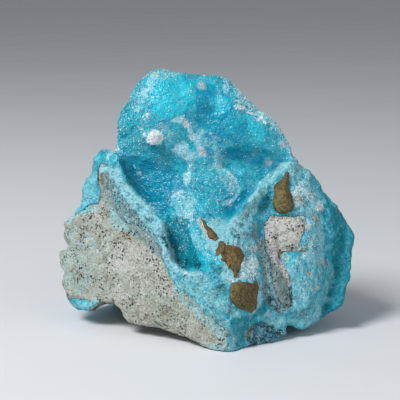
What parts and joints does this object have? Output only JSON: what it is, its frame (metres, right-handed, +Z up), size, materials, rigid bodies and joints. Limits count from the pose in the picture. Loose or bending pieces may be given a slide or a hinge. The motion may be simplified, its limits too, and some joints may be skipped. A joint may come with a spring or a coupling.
{
  "type": "hemimorphite specimen",
  "caption": "Free-standing mineral specimen: blue hemimorphite crust with an open crystal-lined hollow over speckled host rock, with brown limonite lumps",
  "frame": {"origin": "centre of the footprint of the whole specimen's box, on the surface that it stands on", "axes": "+X to the right as the hollow is looked into, the longest side; -Y towards the viewer; +Z up"},
  "size_m": [0.1051, 0.0754, 0.0894],
  "materials": {
    "hemimorphite": "blue to cyan crystalline crust, sparkling in the hollow, waxy outside",
    "host_rock": "matt broken rock, grey green with fine black specks and brown stains",
    "limonite": "dull brown to olive lumps with an earthy surface"
  },
  "bodies": {
    "root": {"hemimorphite_crust": "hemimorphite", "matrix": "host_rock", "limonite_large": "limonite", "limonite_middle": "limonite", "limonite_small": "limonite", "limonite_tall": "limonite"}
  },
  "joints": []
}
